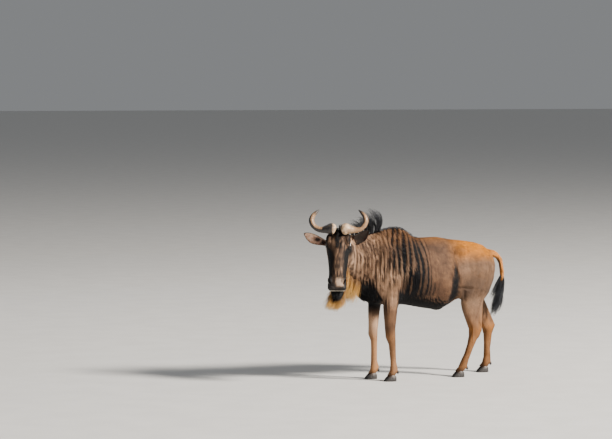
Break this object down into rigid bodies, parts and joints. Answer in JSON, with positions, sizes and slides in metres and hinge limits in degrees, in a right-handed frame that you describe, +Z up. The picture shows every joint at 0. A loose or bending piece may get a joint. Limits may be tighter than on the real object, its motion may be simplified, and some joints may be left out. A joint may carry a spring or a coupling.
{
  "type": "wildebeest",
  "caption": "Life-size standing wildebeest bull with curved horns, dark mane, golden beard and tufted tail, head turned to its left; a still museum model.",
  "frame": {"origin": "the middle of the underside of the bounding box, on the ground the hooves stand on", "axes": "the animal's body faces -Y, its left side is +X and +Z is up; the head is turned to its left"},
  "size_m": [0.4824, 1.9052, 1.4563],
  "materials": {
    "hide": "short warm grey-brown coat with dark stripes on the neck and shoulders",
    "face": "dark short coat with a golden beard",
    "horn": "worn grey-brown horn with a dull shine",
    "hoof": "black hoof horn",
    "eye": "dark glossy eye"
  },
  "bodies": {
    "root": {"torso": "hide", "neck": "hide", "head": "face", "tail": "hide", "foreleg_left": "hide", "foreleg_right": "hide", "hindleg_left": "hide", "hindleg_right": "hide", "horn_left": "horn", "horn_right": "horn", "ear_left": "hide", "ear_right": "hide", "eye_left": "eye", "eye_right": "eye", "fore_hoof_left_inner": "hoof", "fore_hoof_left_outer": "hoof", "fore_hoof_right_inner": "hoof", "fore_hoof_right_outer": "hoof", "hind_hoof_left_inner": "hoof", "hind_hoof_left_outer": "hoof", "hind_hoof_right_inner": "hoof", "hind_hoof_right_outer": "hoof", "fore_dewclaw_left_inner": "hoof", "fore_dewclaw_left_outer": "hoof", "fore_dewclaw_right_inner": "hoof", "fore_dewclaw_right_outer": "hoof", "hind_dewclaw_left_inner": "hoof", "hind_dewclaw_left_outer": "hoof", "hind_dewclaw_right_inner": "hoof", "hind_dewclaw_right_outer": "hoof"}
  },
  "joints": []
}
